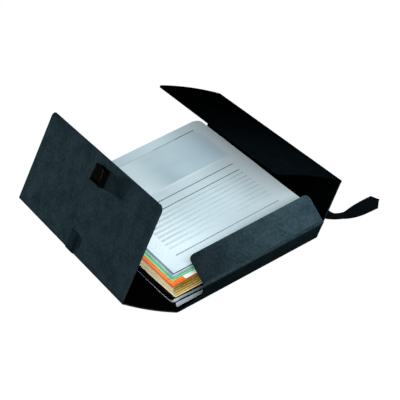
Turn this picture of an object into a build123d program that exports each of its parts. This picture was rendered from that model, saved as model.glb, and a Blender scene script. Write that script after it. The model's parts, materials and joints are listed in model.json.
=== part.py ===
from build123d import *
import math
import os

# Extensible document folder of creased pressboard, with a strap and a lever clasp, shown part open
# and filled with papers. Millimetres, +Z up. The origin is on the table, under the middle of the base.

# Board and lining
BOARD = 1.2
LINING = 0.25
CREASE_GAP = 0.3
LINING_INSET = 1.5
GLUE = 0.03

# Base
BASE_WIDTH = 238.0
BASE_LENGTH = 328.0

# Left side, the one that closes last: a spine, then the cover with the clasp
LEFT_SPINE_DEPTH = 97.0
LEFT_SPINE_ANGLE = 139.7
LEFT_SPINE_BULGE = 2.4
LEFT_COVER_WIDTH = 145.0
LEFT_COVER_ANGLE = 51.5
LEFT_SKEW = 3.5

# Right side, the one that closes first
RIGHT_SPINE_DEPTH = 89.0
RIGHT_SPINE_ANGLE = 52.9
RIGHT_COVER_WIDTH = 121.0
RIGHT_COVER_ANGLE = 147.7
RIGHT_COVER_BULGE = 3.4
COVER_CORNER = 9.0

# Near end: a low wall and a tuck flap
FRONT_LEFT_SETBACK = 37.5
FRONT_RIGHT_SETBACK = 0.8
WALL_TONGUE_HEIGHT = 15.0
WALL_TONGUE_REACH = 35.5
FRONT_WALL_HEIGHT = 49.4
FRONT_WALL_ANGLE = 121.8
FLAP_DEPTH = 45.7
FLAP_ANGLE = 45.6
FLAP_CORNER = 8.0

# Strap
STRAP_WIDTH = 21.0
STRAP_THICK = 1.2
BELT_Y = -8.0
SLIT_FROM_CREASE = 26.5
SLIT_WIDTH = 2.2
SLIT_SIDE_ROOM = 2.0
ANCHOR_LENGTH = 34.0
PATCH_MARGIN = 6.0
PATCH_THICK = 0.3
TIP_POINT = 9.0

# Clasp on the left cover, measured from the cover's crease
CLASP_FROM_CREASE = 118.3
CLASP_Y = -16.3
CLASP_LENGTH = 27.0
CLASP_PLATE = 1.8
CLASP_CORNER = 2.5
EAR_THICK = 2.2
EAR_HEIGHT = 9.4
EAR_NOSE_HEIGHT = 5.6
EAR_CHAMFER = 1.0
EAR_FLAT_PAST_PIN = 6.0
EAR_NOSE_SETBACK = 1.5
EAR_NOSE_FOOT_SETBACK = 1.0
STRAP_SIDE_ROOM = 0.5
BRIDGE_THICK = 2.0
BRIDGE_SLOT = 2.7
BRIDGE_HEIGHT = 7.6
PIN_RADIUS = 1.25
PIN_ALONG = -5.0
PIN_HEIGHT = 6.3
RUNNING_CLEARANCE = 0.05
LEVER_SIDE_ROOM = 0.3
LEVER_HUB = 3.1
LEVER_TOOTH = 0.8
LEVER_TOOTH_ROOT = 0.6
LEVER_TOOTH_HALF = 0.55
LEVER_TEETH = 4
LEVER_FIRST_TOOTH = -150.0
LEVER_TOOTH_STEP = 22.0
LEVER_REACH = 22.0
LEVER_THICK = 2.4
LEVER_ROOT_THIN = 0.6
LEVER_TIP_THIN = 0.9
LEVER_TIP_LONG = 3.0
LEVER_NAIL_LOW = 0.4
LEVER_NAIL_RISE = 0.9
LEVER_NAIL_SETBACK = 1.2
LEVER_RAISE = 9.0
RIVET_RADIUS = 1.5
RIVET_HEAD_RADIUS = 2.8
RIVET_HEAD_THICK = 0.6
RIVET_SPACING = 12.0
RIVET_ALONG = 7.0
RIVET_FIT = 0.05
BACKPLATE_LENGTH = 12.0
BACKPLATE_WIDTH = 23.0
BACKPLATE_THICK = 0.7

# Papers in the folder: margins from the base's left and near edges, heights from the papers' floor
PAPER_CLEARANCE = 0.3
LAYER_GAP = 0.1
SHEET_CORNER = 2.0
WALLET_LEFT = 4.5
WALLET_NEAR = 7.5
WALLET_WIDTH = 227.0
WALLET_LENGTH = 306.0
WALLET_HEIGHT = 15.6
WALLET_WALL = 0.8
WALLET_PLEAT = 3.5
WALLET_SLOPE_LENGTH = 72.0
WALLET_PAPERS_NEAR = 13.0
FILE_LEFT = 7.0
FILE_NEAR = 12.0
FILE_WIDTH = 221.0
FILE_LENGTH = 291.0
BUFF_LEFT = 4.5
BUFF_NEAR = 4.5
BUFF_WIDTH = 228.0
BUFF_LENGTH = 304.0
BUFF_LOW = 13.8
BUFF_NEAR_LOW = 19.3
BUFF_HIGH = 38.4
BUFF_FOLDERS = 3
ORANGE_LEFT = 3.6
ORANGE_NEAR = 4.8
ORANGE_WIDTH = 228.0
ORANGE_LENGTH = 303.0
ORANGE_THICK = 3.5
ORANGE_COUNT = 2
TAB_SHEET_LEFT = 7.5
TAB_SHEET_NEAR = 8.0
TAB_SHEET_WIDTH = 222.0
TAB_SHEET_LENGTH = 298.0
TAB_SHEET_THICK = 0.8
TAB_FROM = 22.0
TAB_LONG = 21.0
TAB_REACH = 7.5
GREEN_LEFT = 6.0
GREEN_NEAR = 6.4
GREEN_WIDTH = 226.0
GREEN_LENGTH = 301.0
GREEN_THICK = 5.4
WHITE_LEFT = 9.4
WHITE_NEAR = 7.4
WHITE_WIDTH = 222.0
WHITE_LENGTH = 299.0
WHITE_THICK = 5.3
INDEX_LEFT = 12.0
INDEX_NEAR = 8.0
INDEX_WIDTH = 225.0
INDEX_LENGTH = 302.0
INDEX_THICK = 0.8
INDEX_FAR_CORNER = 12.0


def direction(angle):
    """Unit vector (across, up) at an angle in degrees from the first axis."""
    return math.cos(math.radians(angle)), math.sin(math.radians(angle))


def side_plane(crease, angle, left):
    """Plane of a side panel: x away from the crease, y to the panel's inner face, z along the fold."""
    across, up = direction(angle)
    return Plane(
        origin=(crease[0], 0, crease[1]),
        x_dir=(across, 0, up),
        z_dir=(0, 1, 0) if left else (0, -1, 0),
    )


def front_plane(crease, angle):
    """Plane of a near-end panel, as side_plane is for the sides."""
    along, up = direction(angle)
    return Plane(origin=(FRONT_MIDDLE, crease[0], crease[1]), x_dir=(0, along, up), z_dir=(-1, 0, 0))


def far_crease(crease, angle, depth):
    """Where a panel of that depth ends, as (first axis, height)."""
    across, up = direction(angle)
    return crease[0] + depth * across, crease[1] + depth * up


def layer_profile(depth, bulge, low, high):
    """Section of a panel's layer between two heights over its inner face, bulged outwards by an arc."""
    if bulge == 0:
        corners = [(0, low), (depth, low), (depth, high), (0, high)]
        return make_face(Polyline(*corners, close=True))
    radius = (depth * depth / 4 + bulge * bulge) / (2 * bulge)
    centre = radius - bulge
    half = math.asin(depth / 2 / radius)

    def at(height, turn):
        reach = radius - height
        return depth / 2 + reach * math.sin(turn), centre - reach * math.cos(turn)

    outer = ThreePointArc(at(low, -half), at(low, 0), at(low, half))
    inner = ThreePointArc(at(high, half), at(high, 0), at(high, -half))
    ends = [Line(outer @ 1, inner @ 0), Line(inner @ 1, outer @ 0)]
    return make_face([outer, ends[0], inner, ends[1]])


def panel(
    depth, width, low, high, bulge=0.0, start=CREASE_GAP, end=CREASE_GAP, corner=0.0, sides=0.0, skew=0.0
):
    """A panel's layer in its own plane, trimmed at its ends and sides, with round corners at its far end.

    The far end is moved along the fold by the skew."""
    half = width / 2 - sides
    reach = depth - end
    low_skew = skew * start / depth
    high_skew = skew * reach / depth
    outline = make_face(
        Polyline(
            (start, low_skew - half),
            (reach, high_skew - half),
            (reach, high_skew + half),
            (start, low_skew + half),
            close=True,
        )
    )
    if corner > 0:
        outline = fillet(outline.vertices().group_by(Axis.X)[-1], corner)
    prism = extrude(Plane.XZ * outline, depth, both=True)
    section = extrude(layer_profile(depth, bulge, low, high), width, both=True)
    return section & prism


def board_panel(depth, width, bulge=0.0, corner=0.0, skew=0.0):
    """The board of a panel; one with round corners has a free far edge."""
    end = 0.0 if corner else CREASE_GAP
    return panel(depth, width, -BOARD, 0, bulge, CREASE_GAP, end, corner, 0.0, skew)


def lining_panel(depth, width, bulge=0.0, corner=0.0, skew=0.0):
    """The lining paper on a panel's inner face, a little smaller than the board."""
    inner_corner = max(corner - LINING_INSET, 0.0)
    top = GLUE + LINING
    return panel(
        depth, width, GLUE, top, bulge, LINING_INSET, LINING_INSET, inner_corner, LINING_INSET, skew
    )


def wall_tongue(low, high, inset):
    """The tapered tongue at the foot of the near wall's left end, trimmed by an inset."""
    side = FRONT_WIDTH / 2 - inset
    foot = max(inset, CREASE_GAP)
    outline = Polyline(
        (foot, side),
        (WALL_TONGUE_HEIGHT - inset, side),
        (foot, side + WALL_TONGUE_REACH - 2 * inset),
        close=True,
    )
    return Pos(0, low, 0) * extrude(Plane.XZ * make_face(outline), low - high)


def block(x, y, z, size_x, size_y, size_z):
    """A box from its low corner and size."""
    return Pos(x, y, z) * Box(size_x, size_y, size_z, align=(Align.MIN, Align.MIN, Align.MIN))


def sheets(left, near, low, width, length, thick):
    """A pile of sheets, placed from the base's left and near edges."""
    outline = RectangleRounded(width, length, SHEET_CORNER)
    return Pos(LEFT_EDGE + left + width / 2, NEAR_EDGE + near + length / 2, low) * extrude(outline, thick)


def lengthwise(points, left, width):
    """A solid with one section along the base, given as (from the near edge, height) points."""
    section = make_face(Polyline(*[(NEAR_EDGE + along, height) for along, height in points], close=True))
    return Pos(LEFT_EDGE + left, 0, 0) * extrude(Plane.YZ * section, width)


def between(value, low, high, start, end):
    """Linear interpolation, held at the ends."""
    share = min(max((value - low) / (high - low), 0.0), 1.0)
    return start + (end - start) * share


# Heights and crease lines. A crease's axis is on the inner face of the board.
BASE_LOW = STRAP_THICK
BASE_TOP = BASE_LOW + BOARD
LEFT_EDGE = -BASE_WIDTH / 2
RIGHT_EDGE = BASE_WIDTH / 2
NEAR_EDGE = -BASE_LENGTH / 2
FRONT_WIDTH = BASE_WIDTH - FRONT_LEFT_SETBACK - FRONT_RIGHT_SETBACK
FRONT_MIDDLE = LEFT_EDGE + FRONT_LEFT_SETBACK + FRONT_WIDTH / 2

left_foot = (LEFT_EDGE, BASE_TOP)
left_top = far_crease(left_foot, LEFT_SPINE_ANGLE, LEFT_SPINE_DEPTH)
right_foot = (RIGHT_EDGE, BASE_TOP)
right_top = far_crease(right_foot, RIGHT_SPINE_ANGLE, RIGHT_SPINE_DEPTH)
front_foot = (NEAR_EDGE, BASE_TOP)
front_top = far_crease(front_foot, FRONT_WALL_ANGLE, FRONT_WALL_HEIGHT)

parts = {}

# Base
base = block(
    LEFT_EDGE + CREASE_GAP,
    NEAR_EDGE + CREASE_GAP,
    BASE_LOW,
    BASE_WIDTH - 2 * CREASE_GAP,
    BASE_LENGTH - CREASE_GAP,
    BOARD,
)
parts["base_board"] = base
parts["base_lining"] = block(
    LEFT_EDGE + LINING_INSET,
    NEAR_EDGE + LINING_INSET,
    BASE_TOP + GLUE,
    BASE_WIDTH - 2 * LINING_INSET,
    BASE_LENGTH - 2 * LINING_INSET,
    LINING,
)

# Sides
left_spine_plane = side_plane(left_foot, LEFT_SPINE_ANGLE, True)
left_cover_plane = side_plane(left_top, LEFT_COVER_ANGLE, True)
right_spine_plane = side_plane(right_foot, RIGHT_SPINE_ANGLE, False)
right_cover_plane = side_plane(right_top, RIGHT_COVER_ANGLE, False)

# The left spine leans a little towards the near end, so its cover sits nearer than the base
parts["left_spine"] = left_spine_plane * board_panel(
    LEFT_SPINE_DEPTH, BASE_LENGTH, LEFT_SPINE_BULGE, skew=-LEFT_SKEW
)
parts["left_spine_lining"] = left_spine_plane * lining_panel(
    LEFT_SPINE_DEPTH, BASE_LENGTH, LEFT_SPINE_BULGE, skew=-LEFT_SKEW
)
parts["right_spine"] = right_spine_plane * board_panel(RIGHT_SPINE_DEPTH, BASE_LENGTH)
parts["right_spine_lining"] = right_spine_plane * lining_panel(RIGHT_SPINE_DEPTH, BASE_LENGTH)
parts["right_cover"] = right_cover_plane * board_panel(
    RIGHT_COVER_WIDTH, BASE_LENGTH, RIGHT_COVER_BULGE, COVER_CORNER
)
parts["right_cover_lining"] = right_cover_plane * lining_panel(
    RIGHT_COVER_WIDTH, BASE_LENGTH, RIGHT_COVER_BULGE, COVER_CORNER
)

# Left cover, with the strap's slit and the clasp's rivet holes
clasp_plane = Plane(
    origin=left_cover_plane.from_local_coords((CLASP_FROM_CREASE, -BOARD, CLASP_Y)),
    x_dir=left_cover_plane.x_dir,
    z_dir=-left_cover_plane.y_dir,
)
slit = Pos(SLIT_FROM_CREASE, 0, BELT_Y) * Box(
    SLIT_WIDTH, 4 * (BOARD + LINING), STRAP_WIDTH + 2 * SLIT_SIDE_ROOM
)
rivet_places = [(RIVET_ALONG, side * RIVET_SPACING / 2) for side in (-1, 1)]


def rivet_holes(depth_below, height_above):
    """Drills for the clasp's rivets, in the clasp's plane."""
    drill = Cylinder(
        RIVET_RADIUS + RIVET_FIT,
        depth_below + height_above,
        align=(Align.CENTER, Align.CENTER, Align.MIN),
    )
    return [Pos(x, y, -depth_below) * drill for x, y in rivet_places]


cover_drills = [clasp_plane * drill for drill in rivet_holes(BOARD + GLUE + LINING + 1, 1)]
skewed = Pos(0, 0, -LEFT_SKEW)
left_cover = left_cover_plane * (
    skewed * board_panel(LEFT_COVER_WIDTH, BASE_LENGTH, 0.0, COVER_CORNER) - slit
)
left_cover_lining = left_cover_plane * (
    skewed * lining_panel(LEFT_COVER_WIDTH, BASE_LENGTH, 0.0, COVER_CORNER) - slit
)
parts["left_cover"] = left_cover - cover_drills
parts["left_cover_lining"] = left_cover_lining - cover_drills

# Near end
front_wall_plane = front_plane(front_foot, FRONT_WALL_ANGLE)
front_flap_plane = front_plane(front_top, FLAP_ANGLE)
parts["front_wall"] = front_wall_plane * (
    board_panel(FRONT_WALL_HEIGHT, FRONT_WIDTH) + wall_tongue(-BOARD, 0, 0.0)
)
parts["front_wall_lining"] = front_wall_plane * (
    lining_panel(FRONT_WALL_HEIGHT, FRONT_WIDTH) + wall_tongue(GLUE, GLUE + LINING, LINING_INSET)
)
parts["front_flap"] = front_flap_plane * board_panel(FLAP_DEPTH, FRONT_WIDTH, 0.0, FLAP_CORNER)
parts["front_flap_lining"] = front_flap_plane * lining_panel(FLAP_DEPTH, FRONT_WIDTH, 0.0, FLAP_CORNER)

# Strap: glued inside the left cover, out through its slit, over the crease, down the spine,
# under the base and out past the right side, where its free end lies on the table
strap_top = STRAP_THICK + BOARD
lining_top = GLUE + LINING
strap_inner = lining_top + STRAP_THICK
strap_outside = panel(
    SLIT_FROM_CREASE + STRAP_THICK / 2, STRAP_WIDTH, -strap_top, -BOARD, 0.0, CREASE_GAP, 0.0
)
strap_through = Pos(SLIT_FROM_CREASE, (strap_inner - strap_top) / 2, 0) * Box(
    STRAP_THICK, strap_inner + strap_top, STRAP_WIDTH
)
strap_inside = Pos(SLIT_FROM_CREASE, lining_top + STRAP_THICK / 2, 0) * Box(
    ANCHOR_LENGTH, STRAP_THICK, STRAP_WIDTH, align=(Align.MIN, Align.CENTER, Align.CENTER)
)
strap_on_cover = strap_outside + strap_through + strap_inside
parts["strap_on_cover"] = left_cover_plane * Pos(0, 0, BELT_Y) * strap_on_cover

patch = Box(
    ANCHOR_LENGTH + PATCH_MARGIN,
    PATCH_THICK,
    STRAP_WIDTH + 2 * PATCH_MARGIN,
    align=(Align.MIN, Align.MIN, Align.CENTER),
)
parts["strap_anchor_patch"] = left_cover_plane * Pos(
    SLIT_FROM_CREASE + SLIT_WIDTH, strap_inner, BELT_Y
) * fillet(patch.edges().filter_by(Axis.Y), PATCH_MARGIN / 2)

spine_strap = panel(LEFT_SPINE_DEPTH, STRAP_WIDTH, -strap_top, -BOARD, LEFT_SPINE_BULGE)
parts["strap_on_spine"] = left_spine_plane * Pos(0, 0, BELT_Y) * spine_strap
parts["strap_under_base"] = block(
    LEFT_EDGE + CREASE_GAP,
    BELT_Y - STRAP_WIDTH / 2,
    0,
    BASE_WIDTH - CREASE_GAP,
    STRAP_WIDTH,
    STRAP_THICK,
)

# Free end of the strap. It lies flat beside the base, then turns over on its edge towards the tip:
# places on the table, from the base's right edge, each with the strap's turn in degrees.
TAIL_ROUTE = [
    (0.0, BELT_Y, 0.0),
    (17.0, BELT_Y, 0.0),
    (36.0, -15.0, 0.0),
    (49.0, -31.0, 0.0),
    (53.0, -55.0, 0.0),
    (47.0, -82.0, 0.0),
    (39.0, -110.0, 0.0),
    (39.5, -136.0, 4.0),
    (51.5, -159.5, 48.0),
    (75.5, -167.0, 90.0),
    (104.5, -164.5, 130.0),
]
TAIL_STATIONS = 60


def tail_path():
    """The middle of the strap's free end on the table: straight runs joined by tangent arcs."""
    points = [Vector(RIGHT_EDGE + x, y, 0) for x, y, turn in TAIL_ROUTE]
    radii = []
    for before, here, after in zip(points, points[1:], points[2:]):
        turn = math.radians((here - before).get_angle(after - here))
        shorter = min((here - before).length, (after - here).length)
        radii.append(0.45 * shorter / math.tan(turn / 2))
    print("tail radii, mm:", [round(radius) for radius in radii])
    return FilletPolyline(*points, radius=radii)


def tail_turn(share):
    """The strap's turn at a share of the path's length."""
    places = [Vector(x, y, 0) for x, y, turn in TAIL_ROUTE]
    turns = [turn for x, y, turn in TAIL_ROUTE]
    steps = [(after - before).length for before, after in zip(places, places[1:])]
    left = share * sum(steps)
    for step, start, end in zip(steps, turns, turns[1:]):
        if left <= step:
            return between(left, 0, step, start, end)
        left -= step
    return turns[-1]


def tail_section_plane(path, share):
    """Plane across the strap, x along its width, with its lower edge on the table."""
    here = path.position_at(share)
    along = path.tangent_at(share)
    right = along.cross(Vector(0, 0, 1))
    turn = math.radians(tail_turn(share))
    rise = abs(math.sin(turn)) * STRAP_WIDTH / 2 + abs(math.cos(turn)) * STRAP_THICK / 2
    across = right * math.cos(turn) + Vector(0, 0, 1) * math.sin(turn)
    return Plane(origin=here + Vector(0, 0, rise), x_dir=across, z_dir=along)


tail = tail_path()
stations = [tail_section_plane(tail, i / TAIL_STATIONS) for i in range(TAIL_STATIONS + 1)]
band = loft([station * Rectangle(STRAP_WIDTH, STRAP_THICK) for station in stations], ruled=True)
tip_plane = Plane(origin=stations[-1].origin, x_dir=stations[-1].x_dir, z_dir=stations[-1].y_dir)
half_strap = STRAP_WIDTH / 2
tip_sign = 1 if tip_plane.y_dir.dot(stations[-1].z_dir) > 0 else -1
tip_outline = Polyline((-half_strap, 0), (half_strap, 0), (0, tip_sign * TIP_POINT), close=True)
tip = tip_plane * extrude(make_face(tip_outline), STRAP_THICK / 2, both=True)
parts["strap_tail"] = band + tip

# Clasp: a plate with two ears and a bridge, and a toothed lever on a pin between the ears
inner_half = STRAP_WIDTH / 2 + STRAP_SIDE_ROOM
plate_width = 2 * (inner_half + EAR_THICK)
plate = extrude(RectangleRounded(CLASP_LENGTH, plate_width, CLASP_CORNER), CLASP_PLATE)
nose = CLASP_LENGTH / 2
ear_outline = make_face(
    Polyline(
        (-nose + CLASP_CORNER / 2, 0),
        (-nose + CLASP_CORNER / 2, EAR_HEIGHT - EAR_CHAMFER),
        (-nose + CLASP_CORNER / 2 + EAR_CHAMFER, EAR_HEIGHT),
        (PIN_ALONG + EAR_FLAT_PAST_PIN, EAR_HEIGHT),
        (nose - EAR_NOSE_SETBACK, EAR_NOSE_HEIGHT),
        (nose - EAR_NOSE_FOOT_SETBACK, 0),
        close=True,
    )
)
ear = extrude(Plane.XZ * ear_outline, EAR_THICK / 2, both=True)
ears = [Pos(0, side * (inner_half + EAR_THICK / 2), 0) * ear for side in (-1, 1)]
bridge = Pos(-nose + CLASP_CORNER / 2, 0, CLASP_PLATE + BRIDGE_SLOT) * Box(
    BRIDGE_THICK,
    2 * inner_half,
    BRIDGE_HEIGHT - CLASP_PLATE - BRIDGE_SLOT,
    align=(Align.MIN, Align.CENTER, Align.MIN),
)
pin_place = Pos(PIN_ALONG, 0, PIN_HEIGHT) * Rot(90, 0, 0)
pin_bore = pin_place * Cylinder(PIN_RADIUS, plate_width + 2)
sinks = [
    Pos(x, y, CLASP_PLATE - RIVET_HEAD_THICK - RIVET_FIT)
    * Cylinder(RIVET_HEAD_RADIUS + RIVET_FIT, 2, align=(Align.CENTER, Align.CENTER, Align.MIN))
    for x, y in rivet_places
]
clasp_base = plate + ears + bridge - pin_bore - rivet_holes(1, CLASP_PLATE) - sinks
parts["clasp_base"] = clasp_plane * clasp_base
parts["clasp_pin"] = clasp_plane * pin_place * Cylinder(PIN_RADIUS, plate_width)

under_head = BOARD + GLUE + LINING + BACKPLATE_THICK
backplate = Pos(RIVET_ALONG, 0, -under_head) * extrude(
    RectangleRounded(BACKPLATE_LENGTH, BACKPLATE_WIDTH, CLASP_CORNER), BACKPLATE_THICK
)
parts["clasp_backplate"] = clasp_plane * (backplate - rivet_holes(under_head + 1, 1))
shank_top = CLASP_PLATE - RIVET_HEAD_THICK
rivet = Pos(0, 0, -under_head) * Cylinder(
    RIVET_RADIUS, under_head + shank_top, align=(Align.CENTER, Align.CENTER, Align.MIN)
)
top_head = Pos(0, 0, shank_top) * Cylinder(
    RIVET_HEAD_RADIUS, RIVET_HEAD_THICK, align=(Align.CENTER, Align.CENTER, Align.MIN)
)
low_head = Pos(0, 0, -under_head - RIVET_HEAD_THICK) * Cylinder(
    RIVET_HEAD_RADIUS, RIVET_HEAD_THICK, align=(Align.CENTER, Align.CENTER, Align.MIN)
)
rivet = rivet + top_head + low_head
parts["clasp_rivets"] = clasp_plane * Compound([Pos(x, y, 0) * rivet for x, y in rivet_places])

lever_width = 2 * (inner_half - LEVER_SIDE_ROOM)
hub = Circle(LEVER_HUB)
for i in range(LEVER_TEETH):
    tooth = make_face(
        Polyline(
            (LEVER_HUB - LEVER_TOOTH_ROOT, -LEVER_TOOTH_HALF),
            (LEVER_HUB + LEVER_TOOTH, 0),
            (LEVER_HUB - LEVER_TOOTH_ROOT, LEVER_TOOTH_HALF),
            close=True,
        )
    )
    hub = hub + Rot(0, 0, LEVER_FIRST_TOOTH + LEVER_TOOTH_STEP * i) * tooth
arm = make_face(
    Polyline(
        (0, LEVER_ROOT_THIN - LEVER_THICK / 2),
        (LEVER_REACH - LEVER_TIP_LONG, LEVER_TIP_THIN - LEVER_THICK / 2),
        (LEVER_REACH, LEVER_THICK / 2 - LEVER_NAIL_LOW),
        (LEVER_REACH - LEVER_NAIL_SETBACK, LEVER_THICK / 2 + LEVER_NAIL_RISE),
        (0, LEVER_HUB),
        close=True,
    )
)
lever_section = hub + arm - Circle(PIN_RADIUS + RUNNING_CLEARANCE)
lever = extrude(Plane.XZ * lever_section, lever_width / 2, both=True)
parts["clasp_lever"] = clasp_plane * Pos(PIN_ALONG, 0, PIN_HEIGHT) * Rot(0, -LEVER_RAISE, 0) * lever

# Papers. A clear wallet lies lowest, its gusset propped open at the near end by what is in it.
paper_floor = BASE_TOP + GLUE + LINING + PAPER_CLEARANCE
wallet_top = paper_floor + WALLET_HEIGHT
sheet_top = paper_floor + WALLET_WALL
flat_top = sheet_top + WALLET_WALL
pleat_height = paper_floor + WALLET_HEIGHT / 2
slope_start = WALLET_NEAR + WALLET_WALL
slope_end = slope_start + WALLET_SLOPE_LENGTH
wallet_far = WALLET_NEAR + WALLET_LENGTH


def wallet_surface(along):
    """Height of the wallet's top sheet, which slopes down from its propped near end."""
    return between(along, slope_start, slope_end, wallet_top, flat_top)


inner_near = WALLET_NEAR + 2 * WALLET_WALL
inner_end = slope_end - 6 * WALLET_WALL
wallet_outside = lengthwise(
    [
        (WALLET_NEAR, paper_floor),
        (wallet_far, paper_floor),
        (wallet_far, flat_top),
        (slope_end, flat_top),
        (slope_start, wallet_top),
        (WALLET_NEAR, wallet_top),
        (WALLET_NEAR, wallet_top - WALLET_WALL),
        (WALLET_NEAR + WALLET_PLEAT, pleat_height),
        (WALLET_NEAR, sheet_top),
    ],
    WALLET_LEFT,
    WALLET_WIDTH,
)
wallet_inside = lengthwise(
    [
        (inner_near, sheet_top),
        (inner_end, sheet_top),
        (inner_end, wallet_surface(inner_end) - WALLET_WALL),
        (inner_near, wallet_surface(inner_near) - WALLET_WALL),
        (WALLET_NEAR + WALLET_PLEAT + WALLET_WALL, pleat_height),
    ],
    WALLET_LEFT - 1,
    WALLET_WIDTH + 2,
)
parts["wallet"] = wallet_outside - wallet_inside
papers_end = inner_end - LAYER_GAP
parts["wallet_papers"] = lengthwise(
    [
        (WALLET_PAPERS_NEAR, sheet_top + LAYER_GAP),
        (papers_end, sheet_top + LAYER_GAP),
        (papers_end, wallet_surface(papers_end) - WALLET_WALL - LAYER_GAP),
        (WALLET_PAPERS_NEAR, wallet_surface(WALLET_PAPERS_NEAR) - WALLET_WALL - LAYER_GAP),
    ],
    WALLET_LEFT + 1,
    WALLET_WIDTH - 2,
)


def buff_level(along, share):
    """Height within the buff folders, whose near end is lifted by the wallet."""
    low = paper_floor + between(along, BUFF_NEAR, slope_end, BUFF_NEAR_LOW, BUFF_LOW)
    return low + share * (paper_floor + BUFF_HIGH - low)


file_far = FILE_NEAR + FILE_LENGTH
parts["dark_file"] = lengthwise(
    [
        (FILE_NEAR, wallet_surface(FILE_NEAR) + LAYER_GAP),
        (slope_end, flat_top + LAYER_GAP),
        (file_far, flat_top + LAYER_GAP),
        (file_far, buff_level(file_far, 0) - LAYER_GAP),
        (slope_end, buff_level(slope_end, 0) - LAYER_GAP),
        (FILE_NEAR, buff_level(FILE_NEAR, 0) - LAYER_GAP),
    ],
    FILE_LEFT,
    FILE_WIDTH,
)


def buff_folder(number):
    """One of the buff folders, counted from the lowest."""
    low = number / BUFF_FOLDERS
    high = (number + 1) / BUFF_FOLDERS
    far = BUFF_NEAR + BUFF_LENGTH
    places = [BUFF_NEAR, slope_end, far]
    under = [(along, buff_level(along, low)) for along in places]
    over = [(along, buff_level(along, high) - LAYER_GAP) for along in reversed(places)]
    return lengthwise(under + over, BUFF_LEFT, BUFF_WIDTH)


parts["buff_folders"] = Compound([buff_folder(number) for number in range(BUFF_FOLDERS)])

level = paper_floor + BUFF_HIGH
orange_pitch = ORANGE_THICK + LAYER_GAP
parts["orange_dividers"] = Compound([
    sheets(
        ORANGE_LEFT, ORANGE_NEAR, level + number * orange_pitch, ORANGE_WIDTH, ORANGE_LENGTH, ORANGE_THICK
    )
    for number in range(ORANGE_COUNT)
])
level += ORANGE_COUNT * orange_pitch
tab = block(
    LEFT_EDGE + TAB_FROM,
    NEAR_EDGE + TAB_SHEET_NEAR - TAB_REACH,
    level,
    TAB_LONG,
    2 * TAB_REACH,
    TAB_SHEET_THICK,
)
tab = fillet(tab.edges().filter_by(Axis.Z).group_by(Axis.Y)[0], SHEET_CORNER)
parts["tab_sheet"] = tab + sheets(
    TAB_SHEET_LEFT, TAB_SHEET_NEAR, level, TAB_SHEET_WIDTH, TAB_SHEET_LENGTH, TAB_SHEET_THICK
)
level += TAB_SHEET_THICK + LAYER_GAP
parts["green_dividers"] = sheets(GREEN_LEFT, GREEN_NEAR, level, GREEN_WIDTH, GREEN_LENGTH, GREEN_THICK)
level += GREEN_THICK + LAYER_GAP
parts["white_sheets"] = sheets(WHITE_LEFT, WHITE_NEAR, level, WHITE_WIDTH, WHITE_LENGTH, WHITE_THICK)
level += WHITE_THICK + LAYER_GAP
index_outline = Rectangle(INDEX_WIDTH, INDEX_LENGTH)
index_outline = fillet(index_outline.vertices().group_by(Axis.Y)[-1], INDEX_FAR_CORNER)
index_outline = fillet(index_outline.vertices().group_by(Axis.Y)[0], SHEET_CORNER)
parts["index_sheet"] = Pos(
    LEFT_EDGE + INDEX_LEFT + INDEX_WIDTH / 2, NEAR_EDGE + INDEX_NEAR + INDEX_LENGTH / 2, level
) * extrude(index_outline, INDEX_THICK)

os.makedirs("parts", exist_ok=True)
for name, shape in parts.items():
    solids = shape.solids()
    exact = solids[0] if len(solids) == 1 else Compound(solids)
    exact.label = name
    export_step(exact, f"parts/{name}.step")
    box = exact.bounding_box()
    print(name, len(solids), "solids, size", *[round(side, 1) for side in box.size])
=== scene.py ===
import itertools
import json
import random
from math import asin, cos, pi, radians, sin, sqrt
from typing import NamedTuple

import bmesh
import bpy
from mathutils import Matrix, Vector


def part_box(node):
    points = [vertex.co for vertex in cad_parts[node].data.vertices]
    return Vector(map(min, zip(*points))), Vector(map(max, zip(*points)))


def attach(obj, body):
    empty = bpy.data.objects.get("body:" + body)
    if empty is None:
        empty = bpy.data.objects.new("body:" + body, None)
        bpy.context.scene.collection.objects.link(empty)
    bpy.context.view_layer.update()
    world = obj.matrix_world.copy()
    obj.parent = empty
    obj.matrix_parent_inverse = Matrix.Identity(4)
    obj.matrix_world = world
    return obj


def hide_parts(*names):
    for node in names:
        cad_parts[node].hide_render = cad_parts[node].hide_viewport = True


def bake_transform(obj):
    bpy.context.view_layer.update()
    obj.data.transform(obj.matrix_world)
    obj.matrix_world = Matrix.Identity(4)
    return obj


# Looks of an extensible document folder: creased pressboard, a webbing strap, a lever clasp, and the papers in
# it. Metres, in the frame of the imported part: the origin on the table under the middle of the base.

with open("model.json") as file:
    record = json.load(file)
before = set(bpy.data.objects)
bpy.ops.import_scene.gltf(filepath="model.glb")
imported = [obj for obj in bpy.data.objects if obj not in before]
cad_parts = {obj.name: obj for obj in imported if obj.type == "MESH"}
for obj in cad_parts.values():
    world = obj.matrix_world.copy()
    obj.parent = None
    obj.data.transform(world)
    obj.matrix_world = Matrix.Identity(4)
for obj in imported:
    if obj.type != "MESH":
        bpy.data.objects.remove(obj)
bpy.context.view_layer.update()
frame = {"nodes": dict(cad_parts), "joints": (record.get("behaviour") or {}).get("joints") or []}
MM = 0.001
ALONG_X = Vector((1, 0, 0))
ALONG_Y = Vector((0, 1, 0))
UPWARDS = Vector((0, 0, 1))


def add_object(name, data):
    """A new object in the scene."""
    made = bpy.data.objects.new(name, data)
    bpy.context.scene.collection.objects.link(made)
    return made


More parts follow.
